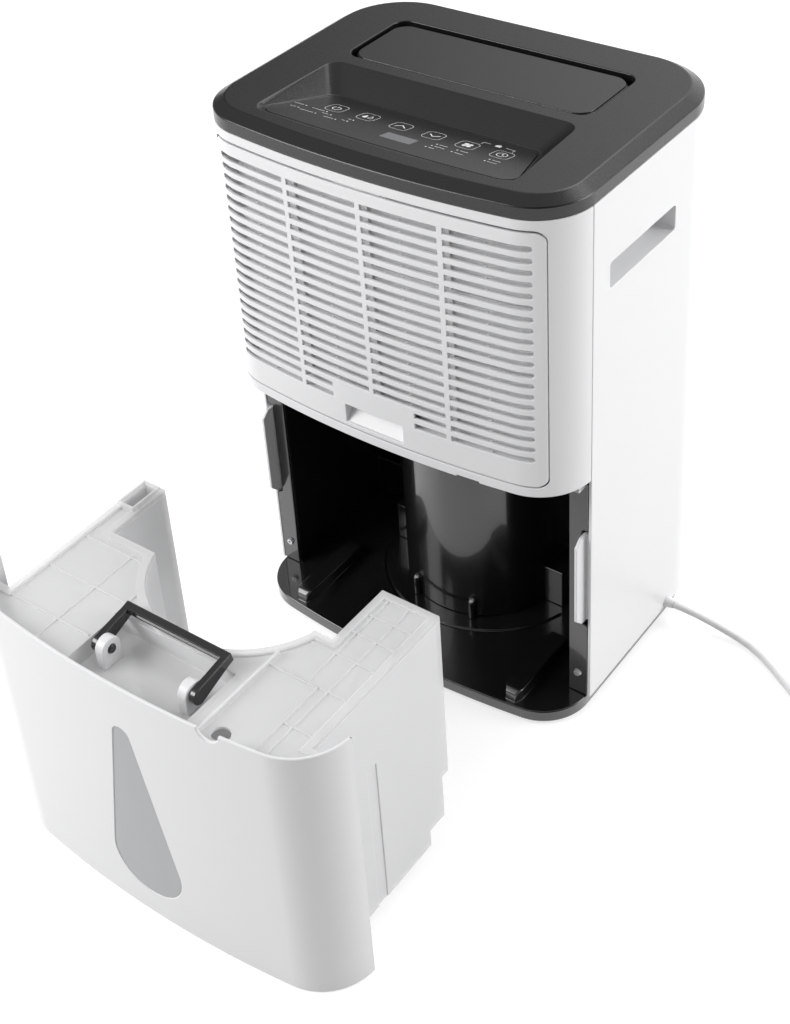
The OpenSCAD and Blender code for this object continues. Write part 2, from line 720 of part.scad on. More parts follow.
module filter_grille() housed() color("#f6f7f8") {
    difference() {
        union() {
            intersection() {
                translate([0, 0, grille_z0]) linear_extrude(grille_z1 - grille_z0) wall_of(0, wall, -150, -100);
                rotate([90, 0, 0]) translate([0, 0, 100]) linear_extrude(60)
                    rounded_box(-grille_hw, grille_hw, grille_z0, grille_z1, 8);
            }
            grip_cup();
            // barrel that turns on the housing's pins
            translate([0, hinge_y, hinge_z]) rotate([0, 90, 0]) cylinder(h = 40, r = 1.8, center = true);
            box([-20, hinge_y - 1.7, hinge_z - 4], [20, hinge_y, hinge_z]);
            // stiffening bars behind the slots
            for (x = [-106, -35, 35, 106]) intersection() {
                translate([0, 0, grille_z0 + 14]) linear_extrude(grille_z1 - grille_z0 - 24) wall_of(wall - 0.1, wall + 2, -150, -100);
                box([x - 1, -150, 0], [x + 1, -100, 600]);
            }
        }
        slots();
        grip_cut();
        both_sides() translate([14, hinge_y, hinge_z]) rotate([0, 90, 0]) cylinder(h = 7, r = 1, $fn = 24);
    }
}

module slots() {
    for (row = [0:slot_rows - 1]) {
        z = first_slot_z - row*slot_pitch;
        short = row >= slot_rows - 2;
        for (s = [-1, 1]) {
            slot(s, rib_x + rib_hw, slot_end_x, z, true);
            slot(s, short ? grip_hw + 12 : rib_hw, rib_x - rib_hw, z, false);
        }
    }
}

// One slot from x0 to x1 on side s, its far end round when round_end is set
module slot(s, x0, x1, z, round_end) {
    far = round_end ? x1 - slot_h/2 : x1;
    translate([s > 0 ? x0 : -far, -150, z - slot_h/2]) cube([far - x0, 50, slot_h]);
    if (round_end) translate([s*far, -100, z]) rotate([90, 0, 0]) cylinder(h = 50, r = slot_h/2, $fn = 24);
}

module grip_cut() {
    translate([-grip_hw, -hd - front_bow - 2, 0]) rotate([90, 0, 90]) linear_extrude(2*grip_hw)
        polygon([[0, 263.5], [4, 263.5], [15, 275], [15, 281], [0, 281]]);
}

module grip_cup() {
    translate([-grip_hw - 2, -hd - front_bow, 0]) rotate([90, 0, 90]) linear_extrude(2*grip_hw + 4)
        polygon([[1.5, 262], [3, 262], [15, 273.5], [15, 282.6], [1.5, 282.6]]);
}

// The frame follows the curve of the grille, 8 mm behind it
module filter_frame() housed() color("#d5d9dc") {
    difference() {
        translate([0, 0, 288]) linear_extrude(190) filter_band(8, 12, 143.5);
        box([-139.5, -150, 294], [139.5, -90, 472]);
    }
    intersection() {
        translate([0, 0, 290]) linear_extrude(186) filter_band(8, 9.8, 141);
        union() {
            for (x = [-71, 0, 71]) box([x - 1, -150, 0], [x + 1, -90, 600]);
            for (z = [354, 414]) box([-150, -150, z - 1], [150, -90, z + 1]);
        }
    }
    // posts that tie the frame to the back of the grille
    for (x = [-71, 71], z = [291, 475]) translate([x, hinge_y + 10, z]) rotate([90, 0, 0]) cylinder(h = 8.8, r = 2.2);
}

// Band behind the grille from t0 to t1 behind its wall, as far as x to each side
module filter_band(t0, t1, x) {
    intersection() {
        wall_of(wall + t0, wall + t1, -150, -100);
        translate([-x, -150]) square([2*x, 60]);
    }
}

module filter_mesh() housed() color("#b7bcc0")
    difference() {
        translate([0, 0, 294.1]) linear_extrude(177.8) filter_band(10, 11, 139.4);
        for (x = [-120:30:120], z = [308:30:458]) box([x - 13, -150, z - 13], [x + 13, -100, z + 13]);
    }

// ---------------------------------------------------------------- water tank

// Plan of the tank inside its front cover, drawn in by t, up to the line y1
module tank_plan(t, y1) {
    difference() {
        union() {
            intersection() { outline(cover_t + t); half_plan(-150, wing_y - t); }
            translate([-(tank_hw - t), wing_y - t - eps]) square([2*(tank_hw - t), y1 - wing_y + t + eps]);
        }
        translate([0, bulge_y]) circle(r = tank_cut_r + t, $fn = 128);
        translate([-(lobe_in + t), lobe_y - t]) square([lobe_in + lobe_x + 2*t, 100]);
    }
}

// Block of the tank with its stepped underside, drawn in by t
module tank_block(t, top) {
    translate([0, 0, tank_z0 + t]) linear_extrude(top - tank_z0 - t) tank_plan(t, 24 - t);
    translate([0, 0, 31 + t]) linear_extrude(top - 31 - t) tank_plan(t, 43 - t);
    translate([0, 0, 74 + t]) linear_extrude(top - 74 - t) tank_plan(t, tank_back - t);
}

module rail_channel(grow) {
    both_x(rail_x) box([-9.6 - grow, rail_y0 - 2 - grow, 0], [9.6 + grow, 60, tray_top + rail_h + 1 + grow]);
}

module tank_body() drawn_out() color("#e4eaee", 0.45) {
    difference() {
        tank_block(0, tank_z1);
        difference() {
            tank_block(tank_wall, tank_z1 + 1);
            rail_channel(tank_wall);
        }
        rail_channel(0);
        // finger grooves down both sides
        both_sides() box([tank_hw - 1, -44, tank_z0 - 1], [tank_hw + 1, -33, 160]);
    }
}

module tank_lid() drawn_out() color("#edf1f3", 0.5) {
    difference() {
        union() {
            translate([0, 0, tank_z1]) linear_extrude(2.4) tank_plan(0, tank_back);
            // broad rim round the edge
            translate([0, 0, tank_z1 + 2.4 - eps]) linear_extrude(2) difference() {
                tank_plan(0, tank_back);
                tank_plan(6.5, tank_back - 6.5);
            }
            box([-pocket_hw - 2, pocket_y0 - 2, pocket_z - 2], [pocket_hw + 2, pocket_y1 + 2, tank_z1 + 0.1]);
            intersection() {
                lid_ribs();
                linear_extrude(300) tank_plan(1, tank_back - 1);
            }
            box([chimney[0], chimney[2], 150], [chimney[1], chimney[3], tank_z1 + 8]);
            // ears the float hangs from
            for (x = [100, 134]) box([x, 4, 205], [x + 3, 16, tank_z1 + 0.1]);
        }
        box([-pocket_hw, pocket_y0, pocket_z], [pocket_hw, pocket_y1, 260]);
        box([chimney[0] + 2, chimney[2] + 2, 140], [chimney[1] - 2, chimney[3] - 2, 260]);
        // pouring hole behind the spout
        translate([spout_x, -119, tank_z1 - 5]) cylinder(h = 20, r = 7);
        translate([0, float_axis[0], float_axis[1]]) rotate([0, 90, 0]) translate([0, 0, 95]) cylinder(h = 50, r = 1.6);
    }
}

module lid_ribs() {
    z0 = tank_z1 + 2.3;
    // upright web that keeps poured water to the spout's side, and the bed it runs in
    box([69, -131, z0], [71, -40, z0 + 5]);
    box([71 - eps, -52, z0], [113.4, -50.6, z0 + 1.6]);
    box([112, -124, z0], [113.4, -50.6, z0 + 1.6]);
    // ribs of the left side
    box([-90.7, -124, z0], [-89.3, -20, z0 + 1.4]);
    for (y = [-100, -61, -22]) box([-140, y - 0.7, z0], [-58, y + 0.7, z0 + 1.4]);
    box([-58.7, -74, z0], [-57.3, -36, z0 + 1.4]);
    // and of the right
    for (x = [103, 121]) box([x - 0.7, x > 110 ? -118 : -50, z0], [x + 0.7, 47, z0 + 1.4]);
    for (y = [-88, -50, -18, 6, 26]) box([y < -60 ? 113 : 80, y - 0.7, z0], [140, y + 0.7, z0 + 1.4]);
}

module tank_cover() drawn_out() color("#f2f3f4") {
    difference() {
        translate([0, 0, cover_z0]) linear_extrude(cover_z1 - cover_z0) wall_of(0, cover_t, -150, seam_y - 0.6);
        rotate([90, 0, 0]) translate([0, 0, 100]) linear_extrude(60) window_plan(0);
        translate([spout_x, -100, cover_z1]) rotate([90, 0, 0]) cylinder(h = 60, r = spout_r);
    }
}

// Drop-shaped window, drawn as one closed line round its small top and its wide foot
module window_plan(t) {
    lean = asin((window_low[2] - window_high[2])/(window_high[1] - window_low[1]));
    polygon(concat(
        [for (i = [0:12]) arc_point(window_high, t, lean + i*(180 - 2*lean)/12)],
        [for (i = [0:36]) arc_point(window_low, t, 180 - lean + i*(180 + 2*lean)/36)]));
}

function arc_point(c, t, a) = [c[0] + (c[2] - t)*cos(a), c[1] + (c[2] - t)*sin(a)];

module level_window() drawn_out() color("#c4c9cc", 0.7) {
    intersection() {
        translate([0, 0, cover_z0]) linear_extrude(cover_z1 - cover_z0) wall_of(0.5, cover_t, -150, -100);
        rotate([90, 0, 0]) translate([0, 0, 100]) linear_extrude(60) window_plan(0.1);
    }
}

module handle_brackets() drawn_out() color("#f0f1f2")
    both_x(bracket_x) difference() {
        union() {
            box([-4, handle_y - 9, pocket_z], [4, handle_y + 9, handle_z]);
            translate([0, handle_y, handle_z]) rotate([0, 90, 0]) cylinder(h = 8, r = 9, center = true);
        }
        translate([0, handle_y, handle_z]) rotate([0, 90, 0]) cylinder(h = 10, r = 3.56, center = true);
    }

// Bail handle of flat strap set on edge, lying back over its pocket
module tank_handle() drawn_out() color("#18181a")
    translate([0, handle_y, handle_z]) rotate([handle_lean, 0, 0]) {
        both_sides() {
            translate([bracket_x - 5.5, 0, 0]) rotate([0, 90, 0]) cylinder(h = 12, r = 3.5);
            translate([bracket_x + 4.6, 0, 0]) rotate([0, 90, 0]) cylinder(h = 5.4, r = 7);
            translate([bracket_x + 4.6, 0, 0]) rotate([90, 0, 90]) linear_extrude(5.4)
                polygon([[0, -7], [handle_reach, -strap_hh], [handle_reach + 6, -strap_hh], [handle_reach + 6, strap_hh],
                    [handle_reach, strap_hh], [0, 7]]);
        }
        difference() {
            box([-(bracket_x + 10), handle_reach, -strap_hh], [bracket_x + 10, handle_reach + 6, strap_hh]);
            box([-(bracket_x + 2), handle_reach - 1, 1.6 - strap_hh], [bracket_x + 2, handle_reach + 1.8, strap_hh - 1.6]);
        }
    }

// Float that swings under the tank's lid; its block rises with the water
module tank_float() drawn_out() color("#f7f7f2") {
    box([102.5 + 0.8, -46, 172], [133.7 - 0.8, -14, 196]);
    for (x = [106, 127]) translate([x, 0, 0]) rotate([90, 0, 90]) linear_extrude(4)
        polygon([[-20, 186], [12, 207], [14, 212], [10, 216], [6, 214], [-20, 198]]);
    translate([98, float_axis[0], float_axis[1]]) rotate([0, 90, 0]) cylinder(h = 41, r = 1.54);
}

// ---------------------------------------------------------------- drain and cord

module drain_port() housed() color("#e6e8ea") {
    translate([-80, hd - 10.6, 40]) rotate([90, 0, 0]) difference() {
        union() {
            cylinder(h = 3, r = 13);
            translate([0, 0, -7]) cylinder(h = 8, r = 6);
        }
        translate([0, 0, -8]) cylinder(h = 16, r = 4.5);
    }
}

module drain_cap() housed() color("#1d1d1f")
    translate([-80, hd - 0.6, 40]) rotate([90, 0, 0]) difference() {
        cylinder(h = 8, r = 8.7);
        translate([0, 0, 2]) cylinder(h = 8, r = 6.05);
        translate([0, 0, -1]) linear_extrude(2) difference() { circle(r = 6); circle(r = 4.4); }
    }

module cord_gland() housed() color("#eceded")
    translate([hw - 9, gland_y, gland_z]) rotate([0, 90, 0]) {
        intersection() {
            cylinder(h = 6.5, r = 7.4);
            translate([-10, -10, -1]) cube([10 + gland_z - tray_top, 20, 9]);
        }
        translate([0, 0, 6.5 - eps]) cylinder(h = 4.5, r = 4.9);
        translate([0, 0, 11 - 2*eps]) cylinder(h = gland_out - 2, r1 = 4.9, r2 = 3.9);
    }

function unit(v) = v/norm(v);

function ring_dir(p, i) = unit(p[min(i + 1, len(p) - 1)] - p[max(i - 1, 0)]);

// Points of a ring of r about point i of the route, square to the route
function ring(p, i, r, n) = let (d = ring_dir(p, i), u = unit(cross([0, 0, 1], d)), w = cross(d, u))
    [for (k = [0:n - 1]) p[i] + r*(cos(360*k/n)*u + sin(360*k/n)*w)];

module power_cord() housed() color("#f2f2f2") skin([for (i = [0:len(cord_route) - 1]) ring(cord_route, i, cord_d/2, 10)]);

module cord_coil() housed() color("#f2f2f2")
    translate([coil_c[0], coil_c[1], 0.1]) rotate_extrude($fn = 64)
        translate([coil_r - 10.5, 0]) square([21, coil_h]);

module cord_tie() housed() color("#202020")
    translate([coil_c[0] - coil_r, coil_c[1], 0]) difference() {
        box([-12, -4, 0.05], [12, 4, coil_h + 1.4]);
        box([-10.6, -5, -1], [10.6, 5, coil_h + 0.12]);
    }

// Two-pin plug whose sleeve comes off the outer turn of the coil
module power_plug() housed() color("#f2f2f2")
    translate([coil_c[0] + coil_r, coil_c[1] + 28, 17.1]) rotate([-90, 0, 0]) {
        cylinder(h = 18, r1 = 3.8, r2 = 7);
        translate([0, 0, 18 - eps]) cylinder(h = 26, r1 = 11, r2 = 17);
        translate([0, 0, 44 - 2*eps]) cylinder(h = 3, r = 17);
        for (s = [-1, 1]) translate([s*9.5, 0, 46]) cylinder(h = 20, r = 2.4);
    }

base_tray();
rubber_feet();
front_housing();
rear_housing();
bay_liner();
liner_screws();
compressor();
compressor_mounts();
suction_accumulator();
evaporator();
condenser();
refrigerant_pipes();
drip_tray();
fan_scroll();
fan_motor();
fan_wheel();
outlet_guard();
top_lid();
lid_gasket();
control_panel();
display_window();
control_board();
electrics_box();
run_capacitor();
humidity_sensor();
float_sensor();
flap_motor();
outlet_flap();
filter_grille();
filter_frame();
filter_mesh();
tank_body();
tank_lid();
tank_cover();
level_window();
handle_brackets();
tank_handle();
tank_float();
drain_port();
drain_cap();
housing_screws();
panel_clips();
cord_gland();
power_cord();
cord_coil();
cord_tie();
power_plug();
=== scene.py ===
import math

import bmesh
import bpy
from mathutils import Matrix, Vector
from mathutils.geometry import delaunay_2d_cdt


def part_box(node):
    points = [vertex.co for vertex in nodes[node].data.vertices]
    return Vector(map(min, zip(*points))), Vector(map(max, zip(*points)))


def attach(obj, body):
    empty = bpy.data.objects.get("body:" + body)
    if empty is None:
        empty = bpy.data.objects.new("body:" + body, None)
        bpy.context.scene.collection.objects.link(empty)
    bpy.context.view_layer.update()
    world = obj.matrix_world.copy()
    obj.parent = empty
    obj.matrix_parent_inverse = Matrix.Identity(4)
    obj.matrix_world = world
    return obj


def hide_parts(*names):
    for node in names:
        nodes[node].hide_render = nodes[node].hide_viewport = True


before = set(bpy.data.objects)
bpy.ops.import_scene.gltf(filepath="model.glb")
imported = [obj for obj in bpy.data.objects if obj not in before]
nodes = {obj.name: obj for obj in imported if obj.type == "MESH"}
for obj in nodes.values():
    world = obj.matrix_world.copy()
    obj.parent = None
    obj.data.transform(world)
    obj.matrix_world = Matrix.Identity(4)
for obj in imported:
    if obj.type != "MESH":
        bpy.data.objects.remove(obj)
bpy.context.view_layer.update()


# ---- view and lamps -----------------------------------------------------------------------------
# A long lens looks down on the machine from its front right. The studio is a white floor lit from
# under, inside a ring of grey screens, with a broad lamp at the front left, another at the right and
# a small one over the back.
scene = bpy.context.scene
scene.view_settings.view_transform = "Standard"
view = bpy.data.objects.new("view", bpy.data.cameras.new("view"))
scene.collection.objects.link(view)
view.location = (0.6831, -0.8105, 1.0838)
view.rotation_euler = [math.radians(angle) for angle in (56.355, 3.247, 36.054)]
view.data.lens = 59.754
view.data.sensor_width = 36.0
view.data.shift_y = -0.1875
view.data.clip_start = 0.02
scene.camera = view

sky = bpy.data.worlds.new("studio")
scene.world = sky
sky.use_nodes = True
sky_tree = sky.node_tree
around = sky_tree.nodes.new("ShaderNodeTexCoord")
split_way = sky_tree.nodes.new("ShaderNodeSeparateXYZ")
sky_tree.links.new(around.outputs["Generated"], split_way.inputs[0])
compass = sky_tree.nodes.new("ShaderNodeMath")
compass.operation = "ARCTAN2"
sky_tree.links.new(split_way.outputs["X"], compass.inputs[0])
sky_tree.links.new(split_way.outputs["Y"], compass.inputs[1])
turn = sky_tree.nodes.new("ShaderNodeMapRange")
turn.inputs["From Min"].default_value = -math.pi
turn.inputs["From Max"].default_value = math.pi
sky_tree.links.new(compass.outputs[0], turn.inputs["Value"])


def grey(level):
    """Colour of a screen of this brightness."""
    return (level, level, level, 1)


def ring_of_screens(stops):
    """Brightness round the compass: each stop is an angle, clockwise from the back, and a level."""
    ring = sky_tree.nodes.new("ShaderNodeValToRGB")
    ramp = ring.color_ramp
    ramp.elements.remove(ramp.elements[1])
    ramp.elements[0].color = grey(stops[0][1])
    for angle, level in stops[1:]:
        ramp.elements.new((angle + 180)/360).color = grey(level)
    sky_tree.links.new(turn.outputs["Result"], ring.inputs["Fac"])
    return ring.outputs["Color"]


def blend(low, high, share):
    """Mixes two colours, the upper one a socket or a fixed colour, by the share that a socket gives."""
    mix = sky_tree.nodes.new("ShaderNodeMix")
    mix.data_type = "RGBA"
    sky_tree.links.new(share, mix.inputs["Factor"])
    sky_tree.links.new(low, mix.inputs["A"])
    if isinstance(high, tuple):
        mix.inputs["B"].default_value = high
    else:
        sky_tree.links.new(high, mix.inputs["B"])
    return mix.outputs["Result"]


def rise(start, end):
    """Goes from 0 to 1 between two heights on the sky, given as sines."""
    climb = sky_tree.nodes.new("ShaderNodeMapRange")
    climb.inputs["From Min"].default_value = start
    climb.inputs["From Max"].default_value = end
    sky_tree.links.new(split_way.outputs["Z"], climb.inputs["Value"])
    return climb.outputs["Result"]


# bright at the back, dark at the back left and where the view stands; the lid mirrors the step there
LEFT_SIDE = [(-180, 0.32), (-140, 0.46), (-100, 0.26)]
RIGHT_SIDE = [(8, 0.75), (30, 0.42), (80, 0.30), (100, 0.22), (118, 0.06), (132, 0.02), (160, 0.02),
              (180, 0.32)]
screens = ring_of_screens(LEFT_SIDE + [(-62, 0.06), (-42, 0.08), (-22, 0.46)] + RIGHT_SIDE)
lofts = ring_of_screens(LEFT_SIDE + [(-62, 0.12), (-42, 0.38), (-22, 0.75)] + RIGHT_SIDE)
sides = blend(screens, lofts, rise(0.40, 0.52))
ceiling = blend(sides, grey(0.33), rise(0.75, 0.95))
# seen straight on, the set is white all round
sight = sky_tree.nodes.new("ShaderNodeLightPath")
backdrop = blend(ceiling, grey(0.55), sight.outputs["Is Camera Ray"])
sky_tree.links.new(backdrop, sky_tree.nodes["Background"].inputs["Color"])
sky_tree.nodes["Background"].inputs["Strength"].default_value = 2.0


def math_node(tree, kind, a, b):
    """Result of a sum, product or other operation on two values or sockets."""
    node = tree.nodes.new("ShaderNodeMath")
    node.operation = kind
    for socket, value in zip(node.inputs, (a, b)):
        if isinstance(value, (int, float)):
            socket.default_value = value
        else:
            tree.links.new(value, socket)
    return node.outputs[0]


def softbox(name, place, aim, size, watts):
    """A broad lamp that looks at a point."""
    lamp = bpy.data.objects.new(name, bpy.data.lights.new(name, "AREA"))
    scene.collection.objects.link(lamp)
    lamp.data.shape = "RECTANGLE"
    lamp.data.size, lamp.data.size_y = size
    lamp.data.energy = watts
    lamp.location = place
    lamp.rotation_euler = (Vector(place) - Vector(aim)).to_track_quat("Z", "Y").to_euler()


softbox("key_lamp", (-1.5, -1.7, 1.6), (0.0, 0.1, 0.25), (1.6, 1.2), 48.0)
softbox("side_lamp", (2.0, 1.1, 0.9), (0.15, 0.15, 0.25), (1.2, 1.4), 30.0)
softbox("top_lamp", (0.3, 1.4, 2.2), (0.0, 0.1, 0.4), (1.4, 0.8), 10.0)

FLOOR_REACH = 6
SEEN_GLOW, MIRRORED_GLOW, CAST_GLOW = 0.62, 0.95, 0.06
floor_mesh = bpy.data.meshes.new("studio_floor")
floor_corners = [(x*FLOOR_REACH, y*FLOOR_REACH, 0) for x, y in ((-1, -1), (1, -1), (1, 1), (-1, 1))]
floor_mesh.from_pydata(floor_corners, [], [(0, 1, 2, 3)])
studio_floor = bpy.data.objects.new("studio_floor", floor_mesh)
scene.collection.objects.link(studio_floor)
studio_floor.location.z = -0.0002
floor_paint = bpy.data.materials.new("floor_paint")
floor_paint.use_nodes = True
floor_tree = floor_paint.node_tree
floor_shader = floor_tree.nodes["Principled BSDF"]
floor_shader.inputs["Base Color"].default_value = grey(0.5)
floor_shader.inputs["Roughness"].default_value = 0.8
floor_shader.inputs["Specular IOR Level"].default_value = 0.1
floor_shader.inputs["Emission Color"].default_value = grey(1)
# bright to the eye and in reflections, but faint as a light on what stands on it
ray = floor_tree.nodes.new("ShaderNodeLightPath")
seen = math_node(floor_tree, "MULTIPLY", ray.outputs["Is Camera Ray"], SEEN_GLOW)
mirrored = math_node(floor_tree, "MULTIPLY", ray.outputs["Is Glossy Ray"], MIRRORED_GLOW)
glow = math_node(floor_tree, "ADD", math_node(floor_tree, "ADD", seen, mirrored), CAST_GLOW)
floor_tree.links.new(glow, floor_shader.inputs["Emission Strength"])
floor_mesh.materials.append(floor_paint)


# ---- mains cord -----------------------------------------------------------------------------------
# A white two-core lead, 7 mm thick, leaves a bushing low in the right side and falls to the floor.
# It runs off in a loose curve to a coil under a hook-and-loop band, with its moulded plug beside it.
MACHINE_MIDDLE_Y = 0.1565
CORD_RADIUS = 0.0035
CORD_LIE = 0.0036       # height of the cord's middle where it lies on the floor
OUTER_TURN, INNER_TURN, LAST_TURN = 0.0445, 0.0305, 0.0375
COIL_MIDDLE = Vector((0.375, MACHINE_MIDDLE_Y + OUTER_TURN, 0.0))
COIL_TURNS = 6.25
POINTS_A_TURN = 24


def shader_group(name, inputs, outputs):
    """A node group with its sockets, ready for its nodes."""
    group = bpy.data.node_groups.new(name, "ShaderNodeTree")
    for label, kind, value in inputs:
        socket = group.interface.new_socket(name=label, in_out="INPUT", socket_type="NodeSocket" + kind)
        socket.default_value = value
    for label, kind in outputs:
        group.interface.new_socket(name=label, in_out="OUTPUT", socket_type="NodeSocket" + kind)
    return group, group.nodes.new("NodeGroupInput"), group.nodes.new("NodeGroupOutput")


def moulded_skin_group():
    """Skin of a moulding: fine grain in the height, slow drift in colour and gloss."""
    group, given, made = shader_group(
        "moulded_skin",
        [("Color", "Color", (0.8, 0.8, 0.8, 1)), ("Roughness", "Float", 0.4), ("Grain Size", "Float", 0.0006),
         ("Drift", "Float", 0.03)],
        [("Color", "Color"), ("Roughness", "Float"), ("Height", "Float")])
    place = group.nodes.new("ShaderNodeTexCoord")
    grain = group.nodes.new("ShaderNodeTexNoise")
    grain.inputs["Detail"].default_value = 2.0
    group.links.new(place.outputs["Object"], grain.inputs["Vector"])
    group.links.new(math_node(group, "DIVIDE", 1.0, given.outputs["Grain Size"]), grain.inputs["Scale"])
    drift = group.nodes.new("ShaderNodeTexNoise")
    drift.inputs["Scale"].default_value = 14.0
    drift.inputs["Detail"].default_value = 3.0
    group.links.new(place.outputs["Object"], drift.inputs["Vector"])
    centred = math_node(group, "SUBTRACT", drift.outputs["Fac"], 0.5)
    swing = math_node(group, "MULTIPLY", centred, given.outputs["Drift"])
    lift = math_node(group, "ADD", swing, 1.0)
    tinted = group.nodes.new("ShaderNodeVectorMath")
    tinted.operation = "SCALE"
    group.links.new(given.outputs["Color"], tinted.inputs[0])
    group.links.new(lift, tinted.inputs["Scale"])
    group.links.new(tinted.outputs[0], made.inputs["Color"])
    speckle = math_node(group, "MULTIPLY", math_node(group, "SUBTRACT", grain.outputs["Fac"], 0.5), 0.12)
    uneven = math_node(group, "ADD", speckle, swing)
    dulled = math_node(group, "ADD", given.outputs["Roughness"], uneven)
    group.links.new(dulled, made.inputs["Roughness"])
    group.links.new(grain.outputs["Fac"], made.inputs["Height"])
    return group


moulded_skin = moulded_skin_group()


def moulding(name, colour, roughness, grain=0.0006, relief=0.06, drift=0.03, coat=0.0, through=0.0,
             clear=1.0, shine=0.5, metal=0.0):
    """Material with a fine skin; relief is the grain's depth in grains, and clear is 1 when opaque."""
    material = bpy.data.materials.new(name)
    material.use_nodes = True
    tree = material.node_tree
    shader = tree.nodes["Principled BSDF"]
    skin = tree.nodes.new("ShaderNodeGroup")
    skin.node_tree = moulded_skin
    skin.inputs["Color"].default_value = (*colour, 1)
    skin.inputs["Roughness"].default_value = roughness
    skin.inputs["Grain Size"].default_value = grain
    skin.inputs["Drift"].default_value = drift
    bump = tree.nodes.new("ShaderNodeBump")
    bump.inputs["Distance"].default_value = grain
    bump.inputs["Strength"].default_value = relief
    tree.links.new(skin.outputs["Color"], shader.inputs["Base Color"])
    tree.links.new(skin.outputs["Roughness"], shader.inputs["Roughness"])
    tree.links.new(skin.outputs["Height"], bump.inputs["Height"])
    tree.links.new(bump.outputs["Normal"], shader.inputs["Normal"])
    shader.inputs["IOR"].default_value = 1.49
    shader.inputs["Coat Weight"].default_value = coat
    shader.inputs["Coat Roughness"].default_value = 0.05
    shader.inputs["Transmission Weight"].default_value = through
    shader.inputs["Alpha"].default_value = clear
    shader.inputs["Specular IOR Level"].default_value = shine
    shader.inputs["Metallic"].default_value = metal
    return material


def dress(node, material):
    """Gives a node of the construction its finish."""
    mesh = nodes[node].data
    if not mesh.materials:
        mesh.materials.append(material)
    for slot in nodes[node].material_slots:
        slot.material = material


def coil_point(turn):
    """Middle of the cord after so many turns from where it meets the coil."""
    angle = math.radians(-90) + turn*2*math.pi
    # each lap starts at a turn, a radius and a layer, and the cord goes smoothly from one to the next
    laps = [(0.0, OUTER_TURN, 0), (2.0, INNER_TURN, 0), (2.5, INNER_TURN, 1), (4.5, OUTER_TURN, 1),
            (5.0, OUTER_TURN, 2), (COIL_TURNS, LAST_TURN, 2)]
    for (turn_0, radius_0, layer_0), (turn_1, radius_1, layer_1) in zip(laps, laps[1:]):
        if turn <= turn_1:
            share = (turn - turn_0)/(turn_1 - turn_0)
            radius = radius_0 + (radius_1 - radius_0)*share
            layer = layer_0 + (layer_1 - layer_0)*(0.5 - 0.5*math.cos(math.pi*share))
            break
    spot = Vector((math.cos(angle), math.sin(angle), 0))*radius
    return COIL_MIDDLE + spot + Vector((0, 0, CORD_LIE + 2*CORD_RADIUS*layer))


# from the gland to the coil, in millimetres from the machine's middle
cord_run = [(175.5, 52, 19.4), (187, 53, 18.4), (199, 55, 15.4), (211, 57.5, 11), (223, 59, 6.9),
            (235, 59, 4.6), (249, 56, 3.6), (263, 50, 3.6), (277, 42, 3.6), (291, 33, 3.6), (305, 24, 3.6),
            (319, 15, 3.6), (333, 8, 3.6), (347, 3, 3.6), (361, 0.5, 3.6)]
cord_line = [Vector((x, y, z))/1000 + Vector((0, MACHINE_MIDDLE_Y, 0)) for x, y, z in cord_run]
cord_line += [coil_point(k/POINTS_A_TURN) for k in range(int(COIL_TURNS*POINTS_A_TURN) + 1)]
cord_curve = bpy.data.curves.new("cord", "CURVE")
cord_curve.dimensions = "3D"
cord_curve.bevel_depth = CORD_RADIUS
cord_curve.bevel_resolution = 5
spline = cord_curve.splines.new("POLY")
spline.points.add(len(cord_line) - 1)
for point, spot in zip(spline.points, cord_line):
    point.co = (*spot, 1)
spline.use_smooth = True
cord = bpy.data.objects.new("mains_cord", cord_curve)
scene.collection.objects.link(cord)
cord_pvc = moulding("cord_pvc", (0.83, 0.83, 0.835), 0.42, grain=0.0004, relief=0.05)
cord_curve.materials.append(cord_pvc)
dress("power_plug", cord_pvc)
dress("cord_gland", cord_pvc)
dress("cord_tie", moulding("tie_band", (0.02, 0.02, 0.02), 0.85, grain=0.0009, relief=0.5))
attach(cord, "machine")
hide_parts("power_cord", "cord_coil")


# ---- tray and feet ------------------------------------------------------------------------------
# The whole machine stands on one glossy black tray, ribbed underneath, with runners for the tank
# moulded on its floor. Four soft feet are pressed into pockets under it.
CREASE = math.radians(24)       # an edge that turns by more than this is rounded
SAME_POINT = 0.000002
SAME_PLANE = math.radians(0.3)
FOLDED_AREA = 0.0000004         # a face is folded where its triangles cover this much more than it does
CROSSING = 0.0000001


def refilled(mesh):
    """Fills again, in triangles, each face whose outline the rounding has made cross itself."""
    mesh.calc_loop_triangles()
    covered = [0.0]*len(mesh.polygons)
    for triangle in mesh.loop_triangles:
        covered[triangle.polygon_index] += triangle.area
    tool = bmesh.new()
    tool.from_mesh(mesh)
    tool.faces.ensure_lookup_table()
    folded = [face for face, area in zip(tool.faces, covered) if area > face.calc_area() + FOLDED_AREA]
    for face in folded:
        corners, normal = list(face.verts), face.normal.copy()
        start = corners[0].co.copy()
        across = normal.orthogonal().normalized()
        up = normal.cross(across)
        flat = [Vector(((c.co - start).dot(across), (c.co - start).dot(up))) for c in corners]
        outline = [list(range(len(flat)))]
        spots, _, parts, origins, _, _ = delaunay_2d_cdt(flat, [], outline, 1, CROSSING)
        points = []
        for spot, origin in zip(spots, origins):
            if origin:
                points.append(corners[origin[0]])
            else:
                points.append(tool.verts.new(start + across*spot.x + up*spot.y))
        bmesh.ops.delete(tool, geom=[face], context="FACES_ONLY")
        for part in parts:
            ring = [points[k] for k in part]
            if len(set(ring)) == 3 and not tool.faces.get(ring):
                tool.faces.new(ring).smooth = True
    tool.to_mesh(mesh)
    tool.free()


